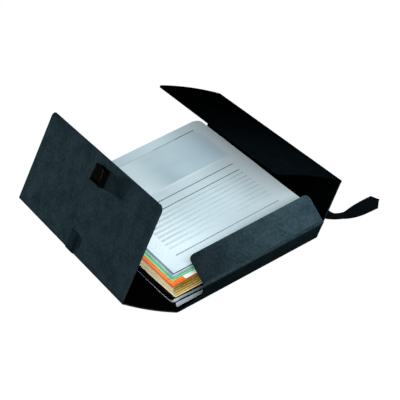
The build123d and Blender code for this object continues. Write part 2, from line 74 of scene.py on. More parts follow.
def make_camera(azimuth, elevation, roll, distance, target, lens, sensor, sight):
    """The camera, at the photograph's viewing angle."""
    across = cos(elevation)
    back = Vector((sin(azimuth) * across, -cos(azimuth) * across, sin(elevation)))
    right = (-back).cross(UPWARDS).normalized()
    turn = Matrix.Rotation(roll, 3, back)
    data = bpy.data.cameras.new("camera")
    data.lens = lens
    data.sensor_width = sensor
    data.clip_end = sight
    camera = add_object("camera", data)
    axes = Matrix((turn @ right, turn @ back.cross(right), back)).transposed()
    camera.matrix_world = Matrix.Translation(target + back * distance) @ axes.to_4x4()
    bpy.context.scene.camera = camera


make_camera(azimuth=radians(-24.33), elevation=radians(35.87), roll=radians(-12.26), distance=2.107,
            target=Vector((0.0416, 0.0357, 0.0012)), lens=124.2, sensor=36.0, sight=20.0)


# Node trees
class Nodes:
    """Short calls that add nodes to a tree and link them."""

    def __init__(self, tree):
        self.tree = tree

    def feed(self, socket, value):
        """Links a node's output to a socket, or sets the socket's own value."""
        if isinstance(value, bpy.types.NodeSocket):
            self.tree.links.new(value, socket)
        elif socket.type == "RGBA":
            socket.default_value = (*value, 1.0)
        else:
            socket.default_value = value

    def node(self, kind, inputs, **settings):
        """The outputs of a new node, with its inputs given by name or number."""
        made = self.tree.nodes.new(f"ShaderNode{kind}")
        for name, value in settings.items():
            setattr(made, name, value)
        for key, value in inputs.items():
            self.feed(made.inputs[key], value)
        return made.outputs

    def calc(self, operation, first, second=0.0):
        return self.node("Math", {0: first, 1: second}, operation=operation)[0]

    def total(self, *parts):
        """The sum of values, each given with its weight."""
        result = 0.0
        for value, weight in parts:
            result = self.calc("ADD", self.calc("MULTIPLY", value, weight), result)
        return result

    def mix(self, share, first, second):
        """The colour at a share of the way from the first to the second."""
        inputs = {"Factor": share, 6: first, 7: second}
        return self.node("Mix", inputs, data_type="RGBA")[2]

    def seen_directly(self):
        """1 for camera, mirror and glass rays, else 0."""
        rays = self.node("LightPath", {})
        direct = self.calc("MAXIMUM", rays["Is Camera Ray"], rays["Is Glossy Ray"])
        return self.calc("MAXIMUM", direct, rays["Is Transmission Ray"])


class Finish(Nodes):
    """The nodes of a material being made."""

    def __init__(self, name, specular=0.5, metallic=0.0):
        self.material = bpy.data.materials.new(name)
        self.material.use_nodes = True
        super().__init__(self.material.node_tree)
        self.shader = self.tree.nodes["Principled BSDF"]
        self.set("Specular IOR Level", specular)
        self.set("Metallic", metallic)
        self.coordinates = self.node("TexCoord", {})

    def set(self, name, value):
        self.feed(self.shader.inputs[name], value)

    def noise(self, scale, detail, rough, place=None):
        """Noise with this many lumps in a metre."""
        place = place or self.coordinates["Object"]
        inputs = {"Vector": place, "Scale": scale, "Detail": detail, "Roughness": rough}
        return self.node("TexNoise", inputs)["Fac"]

    def streaks(self, scales, detail, rough):
        """Noise that is drawn out, with a scale along each axis."""
        inputs = {"Vector": self.coordinates["Object"], "Scale": scales}
        return self.noise(1.0, detail, rough, self.node("Mapping", inputs)["Vector"])

    def smooth(self, value, low, high, to_low=0.0, to_high=1.0):
        """From one number to another, as the value goes from low to high."""
        inputs = {"Value": value, "From Min": low, "From Max": high, "To Min": to_low, "To Max": to_high}
        return self.node("MapRange", inputs, interpolation_type="SMOOTHSTEP")["Result"]

    def dot(self, vector, direction):
        return self.node("VectorMath", {0: vector, 1: direction}, operation="DOT_PRODUCT")["Value"]

    def along(self, direction):
        return self.dot(self.coordinates["Object"], direction)

    def facing(self, direction):
        return self.dot(self.coordinates["Normal"], direction)

    def leaf(self):
        """The number kept at each point of a piece."""
        return self.node("Attribute", {}, attribute_name="leaf")["Fac"]

    def faded(self, colour, corner, fades):
        """A colour with tints of painted light and shade that come or go over a sheet, in millimetres from its
        near left corner.

        Each is (tint, axis, where it starts, where it ends, its share at the start, its share at the end)."""
        for tint, axis, start, end, first, last in fades:
            edge = corner.dot(axis)
            share = self.smooth(self.along(axis), edge + start * MM, edge + end * MM, first, last)
            colour = self.mix(share, colour, tint)
        return colour

    def done(self, colour, grain, rough, height, depth, strength, span=(0.3, 0.7)):
        """The material: its colour, a roughness that follows a span of its grain, and its relief."""
        relief = {"Height": height, "Distance": depth, "Strength": strength}
        self.set("Base Color", colour)
        self.set("Roughness", self.smooth(grain, *span, *rough))
        self.set("Normal", self.node("Bump", relief)["Normal"])
        return self.material


def shade(colour, factor):
    return tuple(part * factor for part in colour)


# Mesh helpers
class Pieces:
    """Points and faces gathered for one mesh, with a number and a flat place kept at each point."""

    def __init__(self):
        self.points = []
        self.faces = []
        self.values = []
        self.flat = []

    def add(self, point, value=0.0, flat=(0.0, 0.0)):
        """Adds a point, and gives its number."""
        self.points.append(Vector(point))
        self.values.append(value)
        self.flat.append(flat)
        return len(self.points) - 1

    def build(self, name, material, smooth_angle=None):
        """The object, smooth where its faces meet at less than the angle."""
        mesh = bpy.data.meshes.new(name)
        mesh.from_pydata(self.points, [], self.faces)
        shell = bmesh.new()
        shell.from_mesh(mesh)
        bmesh.ops.recalc_face_normals(shell, faces=shell.faces[:])
        shell.to_mesh(mesh)
        shell.free()
        mesh.attributes.new("leaf", "FLOAT", "POINT").data.foreach_set("value", self.values)
        layer = mesh.uv_layers.new(name="flat")
        for loop in mesh.loops:
            layer.data[loop.index].uv = self.flat[loop.vertex_index]
        mesh.materials.append(material)
        mesh.validate()
        if smooth_angle is not None:
            mesh.shade_smooth()
            mesh.set_sharp_from_angle(angle=radians(smooth_angle))
        made = add_object(name, mesh)
        return made

    def skin(self, rings):
        """Faces between closed rings of point numbers."""
        for first, second in zip(rings, rings[1:]):
            for here in range(len(first)):
                after = (here + 1) % len(first)
                self.faces.append((first[here], first[after], second[after], second[here]))

    def loop_solid(self, rings):
        """A closed solid through rings of point numbers."""
        self.skin(rings)
        self.faces += [tuple(reversed(rings[0])), tuple(rings[-1])]

    def bored_solid(self, rings, bores):
        """A closed solid through rings, with a hole through it along as many rings of as many points."""
        self.skin(rings)
        self.skin([list(reversed(bore)) for bore in bores])
        self.skin([rings[0], bores[0]])
        self.skin([bores[-1], rings[-1]])


def smooth_line(points, resolution):
    """Points along the smooth spline with these control points."""
    data = bpy.data.curves.new("line", "CURVE")
    data.dimensions = "3D"
    data.resolution_u = resolution
    spline = data.splines.new("NURBS")
    spline.points.add(len(points) - 1)
    for place, point in zip(spline.points, points):
        place.co = (*point, 1.0)
    spline.order_u = 3
    spline.use_endpoint_u = True
    holder = add_object("line", data)
    mesh = bpy.data.meshes.new_from_object(holder)
    line = [vertex.co.copy() for vertex in mesh.vertices]
    bpy.data.objects.remove(holder)
    bpy.data.meshes.remove(mesh)
    bpy.data.curves.remove(data)
    return line


def runs_along(line):
    """The length of a line up to each of its points."""
    steps = [(after - before).length for before, after in zip(line, line[1:])]
    return list(itertools.accumulate(steps, initial=0.0))


def directions(line):
    """Which way a line runs at each of its points."""
    return [after - before for before, after in zip(line[:1] + line, line[1:] + line[-1:])]


def between(value, low, high, start, end):
    """Linear interpolation, held at the ends."""
    share = min(max((value - low) / (high - low), 0.0), 1.0)
    return start + (end - start) * share


# Boards: where each crease is, and how each board leaves it
base_low, base_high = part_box("base_board")
belt_low, belt_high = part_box("strap_under_base")
BOARD = base_high.z - base_low.z
LINING_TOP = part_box("base_lining")[1].z - base_high.z
HALF_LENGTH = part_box("right_spine")[1].y
STRAP_THICK = belt_high.z
STRAP_WIDTH = belt_high.y - belt_low.y
BELT_Y = (belt_high.y + belt_low.y) / 2
RIGHT_EDGE = belt_high.x
# Each hinge's place, by the name of its board
creases = {joint["name"].removesuffix("_crease"): Vector(joint["pos_m"])
           for joint in frame["joints"] if joint["type"] == "hinge"}
LEFT_EDGE = creases["left_spine"].x
NEAR_EDGE = creases["front_wall"].y


class Panel:
    """A board's inner face, with its crease at (0, 0): away from the crease, and over the face."""

    def __init__(self, crease, away, fold, turn, depth, bulge=0.0):
        self.crease = creases[crease]
        self.away = away.normalized()
        self.fold = fold
        self.inner = self.away.cross(fold) * turn
        self.depth = depth
        self.bulge = bulge
        self.radius = (depth**2 / 4 + bulge**2) / (2 * bulge) if bulge else 0.0

    def height(self, along, over):
        """The height of a point of the panel over its plane, which an outward bulge lowers."""
        if self.bulge == 0:
            return over
        reach = self.radius - over
        return self.radius - self.bulge - sqrt(reach**2 - (along - self.depth / 2) ** 2)

    def at(self, along, over):
        """A point of the frame over the panel, at the middle of its fold."""
        return self.crease + self.away * along + self.inner * self.height(along, over)

    def side(self, at_far_end=False):
        """How the board leaves a crease: (direction away from it, inward direction)."""
        lean = asin(self.depth / 2 / self.radius) if self.bulge else 0.0
        away = -self.away if at_far_end else self.away
        turn = Matrix.Rotation(-lean, 3, away.cross(self.inner).normalized())
        return turn @ away, turn @ self.inner


def between_creases(first, second, fold, turn, bulge=0.0):
    """The panel between two creases."""
    step = creases[second] - creases[first]
    return Panel(first, step, fold, turn, step.length, bulge)


def free_panel(crease, angle, fold, turn, depth, bulge=0.0):
    """A panel with a free far edge, at its angle in degrees from the base's plane."""
    across, up = cos(radians(angle)), sin(radians(angle))
    away = Vector((across, 0, up)) if fold == ALONG_Y else Vector((0, across, up))
    return Panel(crease, away, fold, turn, depth, bulge)


BOARDS = {
    "base_board": Panel("left_spine", ALONG_X, ALONG_Y, 1, base_high.x * 2),
    "left_spine": between_creases("left_spine", "left_cover", ALONG_Y, -1, bulge=2.4 * MM),
    "left_cover": free_panel("left_cover", 51.5, ALONG_Y, -1, depth=145 * MM),
    "right_spine": between_creases("right_spine", "right_cover", ALONG_Y, 1),
    "right_cover": free_panel("right_cover", 147.7, ALONG_Y, 1, depth=121 * MM, bulge=3.4 * MM),
    "front_wall": between_creases("front_wall", "front_flap", ALONG_X, 1),
    "front_flap": free_panel("front_flap", 45.6, ALONG_X, 1, depth=45.7 * MM),
}
left_spine, left_cover = BOARDS["left_spine"], BOARDS["left_cover"]
# How the base leaves its three creases
left_foot = (ALONG_X, UPWARDS)
right_foot = (-ALONG_X, UPWARDS)
front_foot = (ALONG_Y, UPWARDS)


# Finishes of the folder
BOARD_DARK = (0.0070, 0.0150, 0.0185)
BOARD_LIGHT = (0.0175, 0.0290, 0.0355)
BOARD_CORE = (0.014, 0.020, 0.023)
BOARD_WEAR = (0.032, 0.044, 0.050)
# Painted light and shade: a factor on each board's colour, at the low and the high end of its fold's axis, for
# how light falls on it
BOARD_PAINTED_LIGHT = {
    "left_spine": (1.0, 1.0),
    "left_cover": (0.65, 0.62),
    "front_flap": (0.45, 2.3),
    "front_wall": (0.36, 0.60),
    "right_cover": (0.20, 0.02),
    "right_spine": (0.70, 0.40),
    "base_board": (0.70, 0.70),
}
PAINTED_LIGHT_REACH = 0.8 * HALF_LENGTH
RIM_WEAR = 1.6 * MM
RIM_WEAR_SHARE = 0.6
WEAVE_PITCH = 1.1 * MM


def pressboard(name, panel, tones):
    """Dark grained pressboard, with painted light and shade by board and along its fold. Its cut edges show the
    core, and its rims are a little worn.
    """
    look = Finish(name, specular=0.0)
    clouds = look.noise(42.0, 3.0, 0.55)
    mottle = look.noise(250.0, 4.0, 0.62)
    fibres = look.streaks((900.0, 260.0, 900.0), 3.0, 0.6)
    grain = look.noise(1500.0, 2.0, 0.6)
    tone = look.smooth(look.total((clouds, 0.30), (mottle, 0.42), (fibres, 0.28)), 0.38, 0.62)
    # Painted light and shade: the colour scaled by the board's factors, graded along its fold
    ends = [look.mix(tone, shade(BOARD_DARK, end), shade(BOARD_LIGHT, end)) for end in tones]
    place = look.along(panel.fold)
    colour = look.mix(look.smooth(place, -PAINTED_LIGHT_REACH, PAINTED_LIGHT_REACH), *ends)
    middle = sum(tones) / 2
    far_edge = panel.crease.dot(panel.away) + panel.depth
    rim = look.calc(
        "MAXIMUM",
        look.smooth(look.calc("ABSOLUTE", place), HALF_LENGTH - RIM_WEAR, HALF_LENGTH),
        look.smooth(look.along(panel.away), far_edge - RIM_WEAR, far_edge),
    )
    scuffed = look.smooth(look.noise(380.0, 3.0, 0.7), 0.42, 0.72, 0.0, RIM_WEAR_SHARE)
    colour = look.mix(look.calc("MULTIPLY", rim, scuffed), colour, shade(BOARD_WEAR, middle))
    face = look.smooth(look.calc("ABSOLUTE", look.facing(panel.inner)), 0.35, 0.55)
    colour = look.mix(face, shade(BOARD_CORE, middle), colour)
    height = look.total((fibres, 0.6), (grain, 0.4))
    return look.done(colour, mottle, (0.58, 0.74), height, 0.12 * MM, 0.8)


def creased_board(name, tones):
    """The board's outer skin where it folds, with its board's mean painted light and shade."""
    look = Finish(name, specular=0.0)
    mottle = look.noise(300.0, 4.0, 0.65)
    grain = look.noise(1300.0, 2.0, 0.6)
    middle = sum(tones) / 2
    share = look.smooth(mottle, 0.34, 0.7)
    colour = look.mix(share, shade(BOARD_DARK, middle), shade(BOARD_LIGHT, middle))
    return look.done(colour, mottle, (0.6, 0.78), grain, 0.1 * MM, 0.7)


def streaked(name, scales, detail, grain, dark, light, rough, depth, strength, specular=0.0, metallic=0.0):
    """A material whose tone, roughness and relief follow the same drawn-out noise."""
    look = Finish(name, specular, metallic)
    streaks = look.streaks(scales, detail, grain)
    return look.done(look.mix(streaks, dark, light), streaks, rough, streaks, depth, strength)


def webbing(name, dark, light, sheen):
    """Twill webbing, its threads laid out on the strap's flat places."""
    look = Finish(name, specular=0.0)
    flat = look.node("SeparateXYZ", {0: look.coordinates["UV"]})
    across, along = [look.calc("MULTIPLY", flat[axis], 2 * pi / WEAVE_PITCH) for axis in "XY"]
    twill = look.calc("SINE", look.total((across, 1.0), (along, 0.5)))
    threads = look.calc("SINE", look.calc("MULTIPLY", across, 0.5))
    height = look.total((twill, 0.35), (threads, 0.25), (look.noise(900.0, 3.0, 0.6), 1.0))
    look.set("Sheen Weight", sheen)
    colour = look.mix(look.smooth(height, 0.1, 1.0), dark, light)
    return look.done(colour, height, (0.85, 0.6), height, 0.12 * MM, 0.9, span=(0.0, 1.0))


def black_plastic(name, painted_edge_highlights=False):
    """The clasp's black plastic, faintly textured and polished by handling. It can have painted highlights along
    its edges, in brown grey.
    """
    look = Finish(name, specular=0.0)
    texture = look.noise(2200.0, 2.0, 0.5)
    handled = look.noise(130.0, 3.0, 0.6)
    colour = look.mix(handled, (0.0006, 0.0006, 0.0006), (0.0026, 0.0025, 0.0023))
    if painted_edge_highlights:
        # Painted highlight: brown grey where the points' numbers mark the lever's edges, broken up by noise
        edge_highlight = look.smooth(look.noise(700.0, 2.0, 0.6), 0.3, 0.6, 0.35, 1.0)
        edge_highlight = look.calc("MULTIPLY", look.leaf(), edge_highlight)
        colour = look.mix(edge_highlight, colour, (0.016, 0.013, 0.010))
    return look.done(colour, handled, (0.42, 0.58), texture, 0.02 * MM, 0.35, span=(0.35, 0.65))


def brushed_steel(name, dark, light):
    """The steel of the clasp's pin, rivets and backing plate."""
    return streaked(name, (400.0, 3000.0, 3000.0), 3.0, 0.7, dark, light, (0.32, 0.5), 0.01 * MM, 0.5,
                    specular=0.5, metallic=1.0)


lining = streaked("lining_paper", (240.0, 900.0, 240.0), 3.0, 0.6, (0.0002, 0.0003, 0.0004),
                  (0.0011, 0.0013, 0.0015), (0.75, 0.9), 0.06 * MM, 0.6)
strap_weave = webbing("webbing", (0.0006, 0.0009, 0.0011), (0.0036, 0.0056, 0.0070), 0.01)
# The strap's stretch on the cover: the same webbing painted lighter and bluer, as painted light like that on the
# lit cover
painted_light_weave = webbing("painted_light_webbing", (0.0012, 0.0038, 0.0050), (0.0060, 0.0118, 0.0145), 0.004)
plastic = black_plastic("black_plastic")
lever_plastic = black_plastic("highlit_black_plastic", painted_edge_highlights=True)
steel = brushed_steel("brushed_steel", (0.05, 0.05, 0.055), (0.14, 0.14, 0.15))
blackened = brushed_steel("blackened_steel", (0.004, 0.004, 0.004), (0.018, 0.017, 0.016))

# CAD nodes that stay
SHARP_ANGLE = radians(35)
WELD_REACH = 1e-6
EDGE_ROUND = 0.18 * MM
# The clasp's: (node, finish, rounding of its sharp edges, segments of the rounding)
CLASP_PARTS = [
    ("clasp_base", plastic, 0.7 * MM, 3),
    ("clasp_pin", blackened, 0.15 * MM, 2),
    ("clasp_rivets", steel, 0.2 * MM, 2),
    ("clasp_backplate", steel, 0.12 * MM, 2),
]


def dress(node, material, bevel=0.0, segments=2):
    """Gives a CAD node its finish, and rounds its sharp edges a little."""
    shown = frame["nodes"][node]
    shown.data.materials.clear()
    shown.data.materials.append(material)
    if bevel:
        weld = shown.modifiers.new("weld", "WELD")
        weld.merge_threshold = WELD_REACH
        rounding = shown.modifiers.new("bevel", "BEVEL")
        rounding.width = bevel
        rounding.segments = segments
        rounding.limit_method = "ANGLE"
        rounding.angle_limit = SHARP_ANGLE


for board_name, board_panel in BOARDS.items():
    skin = pressboard(f"pressboard_{board_name}", board_panel, BOARD_PAINTED_LIGHT[board_name])
    dress(board_name, skin, EDGE_ROUND)
    dress("base_lining" if board_name == "base_board" else f"{board_name}_lining", lining)
dress("strap_anchor_patch", lining)
for clasp_part in CLASP_PARTS:
    dress(*clasp_part)


# Folds: the board's skin round each crease, and a strip of lining along its inside
FOLD_STEPS = 10
FOLD_LAP = 3.2 * MM
FOLD_SKIN = 0.05 * MM
FOLD_TUCK = 0.34 * MM
FOLD_DEPTH = 0.9 * BOARD
STRIP_LAP = 3.0 * MM
STRIP_THICK = 0.07 * MM
STRIP_UNDER = 0.02 * MM
FOLD_SMOOTH = 40


def section_points(side, places):
    """Points over a board, each given as (away from its crease, height over its inner face)."""
    away, inner = side
    return [away * along + inner * over for along, over in places]


def round_crease(first, second, radius):
    """Points round the outside of a crease, from one board's outer face to the other's."""
    start = -first[1]
    turn = start.angle(-second[1])
    axis = start.cross(-second[1]).normalized()
    return [Matrix.Rotation(turn * step / FOLD_STEPS, 3, axis) @ start * radius
            for step in range(FOLD_STEPS + 1)]


def prism(name, centre, section, fold, extent, material):
    """A closed prism along a fold, from its section's points."""
    pieces = Pieces()
    pieces.loop_solid([[pieces.add(centre + point + fold * place) for point in section] for place in extent])
    return pieces.build(name, material, FOLD_SMOOTH)


def make_fold(board, extent, first):
    """The skin and the lining strip at a board's crease, bending between it and the board it hangs on."""
    centre, fold, second = creases[board], BOARDS[board].fold, BOARDS[board].side()
    crease_skin = creased_board(f"{board}_fold_skin", BOARD_PAINTED_LIGHT[board])
    lap = (FOLD_LAP, -BOARD - FOLD_SKIN / 4)
    tuck = [(FOLD_TUCK, -FOLD_DEPTH), (FOLD_TUCK, -FOLD_SKIN)]
    skin = section_points(first, [lap])
    skin += round_crease(first, second, BOARD + FOLD_SKIN)
    skin += section_points(second, [lap] + tuck)
    skin += section_points(first, reversed(tuck))
    cover = prism(f"{board}_fold", centre, skin, fold, extent, crease_skin)
    top = LINING_TOP + STRIP_THICK
    corner = (first[0] + second[0]).normalized()
    opening = first[0].angle(second[0])
    strip = section_points(first, [(STRIP_LAP, LINING_TOP), (STRIP_LAP, top)])
    strip += [corner * (top / sin(opening / 2))]
    strip += section_points(second, [(STRIP_LAP, top), (STRIP_LAP, LINING_TOP)])
    strip += [corner * STRIP_UNDER]
    inside = prism(f"{board}_fold_lining", centre, strip, fold, extent, lining)
    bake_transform(cover)
    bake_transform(inside)


# Each fold: the board, its fold's axis, the node that is as long as the fold, the side of the board that it
# hangs on, and that board's body
FOLDS = [
    ("left_spine", 1, "right_spine", left_foot, "base"),
    ("left_cover", 1, "left_cover", left_spine.side(True), "left_spine"),
    ("right_spine", 1, "right_spine", right_foot, "base"),
    ("right_cover", 1, "right_spine", BOARDS["right_spine"].side(True), "right_spine"),
    ("front_wall", 0, "front_wall", front_foot, "base"),
    ("front_flap", 0, "front_flap", BOARDS["front_wall"].side(True), "front_wall"),
]
for board_name, fold_axis, long_node, parent_side, parent_body in FOLDS:
    fold_extent = [corner[fold_axis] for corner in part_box(long_node)]
    make_fold(board_name, fold_extent, parent_side)


# Strap
UNDER_SECTION = [(-1.0, -0.4), (-0.95, -0.9), (-0.5, -1.0), (0.0, -1.0), (0.5, -1.0), (0.95, -0.9), (1.0, -0.4)]
STRAP_SECTION = UNDER_SECTION + [(-side, -over) for side, over in UNDER_SECTION]
STRAP_SMOOTH = 50


def ribbon(name, line, acrosses, widths, weave=strap_weave):
    """A flat woven strap along a line, with its sideways direction and width at each point."""
    pieces = Pieces()
    rings = []
    for point, ahead, run, across, width in zip(line, directions(line), runs_along(line), acrosses, widths):
        face = across.cross(ahead).normalized() * (STRAP_THICK / 2)
        rings.append([
            pieces.add(point + across * (side * width / 2) + face * over, 0.0, (side * width / 2, run))
            for side, over in STRAP_SECTION
        ])
    pieces.loop_solid(rings)
    return pieces.build(name, weave, STRAP_SMOOTH)


def belt(name, line, weave=strap_weave):
    """A stretch of the strap round the folder, flat in Y."""
    line = [point + ALONG_Y * BELT_Y for point in line]
    return ribbon(name, line, [ALONG_Y] * len(line), [STRAP_WIDTH] * len(line), weave)


# The free end's route on the table from the base's right edge: (x, y, turn in degrees that lifts it from the
# table, lean in degrees, which shows the face of its tip)
TAIL_ROUTE = [
    (0.0, -0.008, 0.0, 0.0), (0.017, -0.008, 0.0, 0.0), (0.036, -0.015, 0.0, 0.0),
    (0.049, -0.031, 0.0, 0.0), (0.053, -0.055, 0.0, 0.0), (0.047, -0.082, 0.0, 0.0),
    (0.039, -0.110, 0.0, 4.0), (0.0395, -0.136, 4.0, 12.0), (0.0515, -0.1595, 48.0, 10.0),
    (0.0755, -0.167, 90.0, -26.0), (0.1045, -0.1645, 130.0, -50.0),
]
TAIL_RESOLUTION = 14
TIP_POINT = 9 * MM
TIP_STEPS = 4
TIP_END_SHARE = 0.06


def angle_after(run, runs, degrees):
    """The angle after a run along a route, from those at its points."""
    for low, high, start, end in zip(runs, runs[1:], degrees, degrees[1:]):
        if run <= high:
            return radians(between(run, low, high, start, end))
    return radians(degrees[-1])


def make_tail():
    """The strap's free end, which lifts from the table and leans towards its pointed tip."""
    across, along, turns, leans = zip(*TAIL_ROUTE)
    route = [Vector((RIGHT_EDGE + x, y, 0)) for x, y in zip(across, along)]
    flat = smooth_line(route, TAIL_RESOLUTION)
    route_runs, flat_runs = runs_along(route), runs_along(flat)
    line = []
    acrosses = []
    for point, ahead, run in zip(flat, directions(flat), flat_runs):
        run *= route_runs[-1] / flat_runs[-1]
        turn = angle_after(run, route_runs, turns)
        lean = angle_after(run, route_runs, leans)
        tilt = max(abs(sin(turn)), abs(sin(lean)))
        rise = tilt * STRAP_WIDTH / 2 + sqrt(1 - tilt**2) * STRAP_THICK / 2
        line.append(point + UPWARDS * rise)
        acrosses.append(ahead.cross(UPWARDS).normalized() * cos(lean) + UPWARDS * sin(lean))
    widths = [STRAP_WIDTH] * len(line)
    neck, neck_across = line[-1], acrosses[-1]
    ahead = (flat[-1] - flat[-2]).normalized() * TIP_POINT
    for step in range(1, TIP_STEPS + 1):
        line.append(neck + ahead * (step / TIP_STEPS))
        acrosses.append(neck_across)
        widths.append(STRAP_WIDTH * max(1 - step / TIP_STEPS, TIP_END_SHARE))
    tail = ribbon("tail_webbing", line, acrosses, widths)
    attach(tail, "base")
    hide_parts("strap_tail")


make_tail()

SLIT = 26.5 * MM
SLIT_PATCH = 3.5 * MM
WRAP_LEG = 3.0 * MM
STRAP_OUT = BOARD + STRAP_THICK / 2
STRAP_IN = LINING_TOP + STRAP_THICK / 2
STRAP_BOW = 1.3 * MM
COVER_RESOLUTION = 8
SPINE_STEPS = 16
BASE_STEPS = 8
ANCHOR = 34 * MM
# The strap on the left cover, from its glued end inside, out through the slit and down to the crease: (away from
# the crease, height over the cover's inner face)
COVER_ROUTE = [
    (SLIT + ANCHOR, STRAP_IN),
    (SLIT + 0.5 * ANCHOR, STRAP_IN),
    (SLIT + 2.6 * MM, STRAP_IN),
    (SLIT + 0.1 * MM, STRAP_IN),
    (SLIT, -0.5 * BOARD),
    (SLIT - 0.3 * MM, -STRAP_OUT - 0.2 * STRAP_BOW),
    (SLIT - 5.0 * MM, -STRAP_OUT - STRAP_BOW),
    (0.45 * SLIT, -STRAP_OUT - STRAP_BOW),
    (2.4 * WRAP_LEG, -STRAP_OUT),
    (WRAP_LEG, -STRAP_OUT),
]


def stretch(name, line, body, node, weave=strap_weave):
    """A stretch of the strap that lies on one board."""
    piece = belt(name, line, weave)
    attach(piece, body)
    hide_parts(node)


def strap_on_cover():
    line = smooth_line([left_cover.at(*place) for place in COVER_ROUTE], COVER_RESOLUTION)
    stretch("cover_webbing", line, "left_cover", "strap_on_cover", painted_light_weave)


def strap_on_spine():
    """Down the left spine's outside, following its bulge."""
    step = (left_spine.depth - 2 * WRAP_LEG) / SPINE_STEPS
    line = [left_spine.at(WRAP_LEG + step * number, -STRAP_OUT) for number in range(SPINE_STEPS + 1)]
    stretch("spine_webbing", line, "left_spine", "strap_on_spine")


def strap_under_base():
    start = LEFT_EDGE + WRAP_LEG
    step = (RIGHT_EDGE - start) / BASE_STEPS
    line = [Vector((start + step * number, 0, STRAP_THICK / 2)) for number in range(BASE_STEPS + 1)]
    stretch("base_webbing", line, "base", "strap_under_base")


def slit_patches():
    """Lining paper glued behind the two ends of the cover's slit, beside the strap."""
    first, last = SLIT - SLIT_PATCH, SLIT + SLIT_PATCH
    top = LINING_TOP + 2 * STRIP_THICK
    corners = [(first, LINING_TOP), (last, LINING_TOP), (last, top), (first, top)]
    section = section_points((left_cover.away, left_cover.inner), corners)
    for name, sign in (("slit_patch_near", -1), ("slit_patch_far", 1)):
        edge = BELT_Y + sign * STRAP_WIDTH / 2
        extent = sorted((edge, edge + sign * SLIT_PATCH))
        patch = prism(name, left_cover.crease, section, ALONG_Y, extent, lining)
        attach(patch, "left_cover")


def strap_wrap(name, first, board):
    """The strap round a board's crease, bending with it."""
    second = BOARDS[board].side()
    leg = [(WRAP_LEG, -STRAP_OUT)]
    round_fold = round_crease(first, second, STRAP_OUT)
    points = section_points(first, leg) + round_fold + section_points(second, leg)
    wrap = belt(name, [creases[board] + point for point in points])
    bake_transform(wrap)


strap_on_cover()
slit_patches()
strap_on_spine()
strap_under_base()
strap_wrap("cover_crease_webbing", left_spine.side(True), "left_cover")
strap_wrap("base_crease_webbing", left_foot, "left_spine")


# The clasp's lever. Its section about its pin, in millimetres and degrees: the toothed hub, and the arm's
# underside and top as (along it, height, share of the rounding at the lever's sides)
LEVER_RAISE = radians(9.0)
LEVER_HUB = 3.1
LEVER_TOOTH = 0.8
HUB_DEGREES = (*range(90, 181, 15), 190, 200, *range(210, 288, 11), 300, 315, 330, 346)
TOOTH_DEGREES = range(210, 277, 22)
# The hub's heel, which has a painted highlight, and the degree where the painted highlight along the hub's sides
# ends
HEEL_DEGREE = 180
HEEL_END = 200
ARM_UNDER = ((10.0, -0.45, 0.5), (17.5, -0.33, 0.4), (19.0, -0.3, 0.4), (21.2, 0.4, 0.0))
ARM_OVER = ((22.0, 0.8, 0.0), (21.6, 1.5, 0.4), (20.8, 2.1, 1.0), (19.6, 2.0, 1.0), (17.5, 1.9, 1.0),
            (13.5, 2.15, 1.0), (9.0, 2.5, 1.0), (4.5, 2.85, 1.0), (2.6, 2.96, 1.0), (1.2, 3.04, 1.0))
ARM_LENGTH = ARM_OVER[0][0]
LEVER_BORE = 1.3
LEVER_CORNER = 4.5
LEVER_EDGE = 0.6
LEVER_STATIONS = (0.0, 0.08, 0.25, 0.6, 1.1, 1.9, 2.9, 4.5)
LEVER_SMOOTH = 40


def quarter_round(depth, radius):
    """How far a rounded corner lies back at a depth from its side."""
    if depth >= radius:
        return 0.0
    return radius - sqrt(radius**2 - (radius - depth) ** 2)


def lever_section(depth):
    """The lever's section at a depth from its side: (along the arm, height, share of painted highlight)."""
    inset = quarter_round(depth, LEVER_EDGE)
    cut = quarter_round(depth, LEVER_CORNER)
    # The share of painted highlight: 1 on the top and hub near the lever's sides, and along the hub's heel
    rim = 1.0 if depth <= LEVER_EDGE / 2 else 0.0
    section = []
    for degree in HUB_DEGREES:
        radius = LEVER_HUB - inset + (LEVER_TOOTH if degree in TOOTH_DEGREES else 0.0)
        angle = radians(degree)
        highlight_share = 1.0 if degree == HEEL_DEGREE else rim if degree < HEEL_END else 0.0
        section.append((radius * cos(angle), radius * sin(angle), highlight_share))
    reach = 1 - cut / ARM_LENGTH
    shorter = 1 - (cut + inset) / ARM_LENGTH
    section += [(along * reach, height + inset * share, 0.0) for along, height, share in ARM_UNDER]
    section += [(along * shorter, height - inset * share, rim) for along, height, share in ARM_OVER]
    return section


def make_lever():
    """The clasp's lever, with rounded corners, a nail catch at its tip and painted highlights along its edges.
    """
    low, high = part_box("clasp_lever")
    half = (high.y - low.y) / 2
    centre = creases["clasp_lever_turn"].copy()
    centre.y = (high.y + low.y) / 2
    out = -left_cover.inner
    along_arm = left_cover.away * cos(LEVER_RAISE) + out * sin(LEVER_RAISE)
    over_arm = out * cos(LEVER_RAISE) - left_cover.away * sin(LEVER_RAISE)
    places = [(-half + depth * MM, depth) for depth in LEVER_STATIONS]
    places += [(half - depth * MM, depth) for depth in reversed(LEVER_STATIONS)]
    pieces = Pieces()
    rings = []
    bores = []
    for place, depth in places:
        middle = centre + ALONG_Y * place
        ring = []
        bore = []
        for along, height, highlight_share in lever_section(depth):
            offset = (along_arm * along + over_arm * height) * MM
            ring.append(pieces.add(middle + offset, highlight_share))
            bore.append(pieces.add(middle + offset.normalized() * LEVER_BORE * MM))
        rings.append(ring)
        bores.append(bore)
    pieces.bored_solid(rings, bores)
    lever = pieces.build("lever_body", lever_plastic, LEVER_SMOOTH)
    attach(lever, "clasp_lever")
    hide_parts("clasp_lever")


make_lever()


# Papers
LEAF_SEED = 11
ROUND_STEPS = 5
LEAF_CORNER = 2.0 * MM
LEAF_COLUMNS = 3
LEFT_LIGHT_FACING = (0.3, 0.9)
leaves = random.Random(LEAF_SEED)


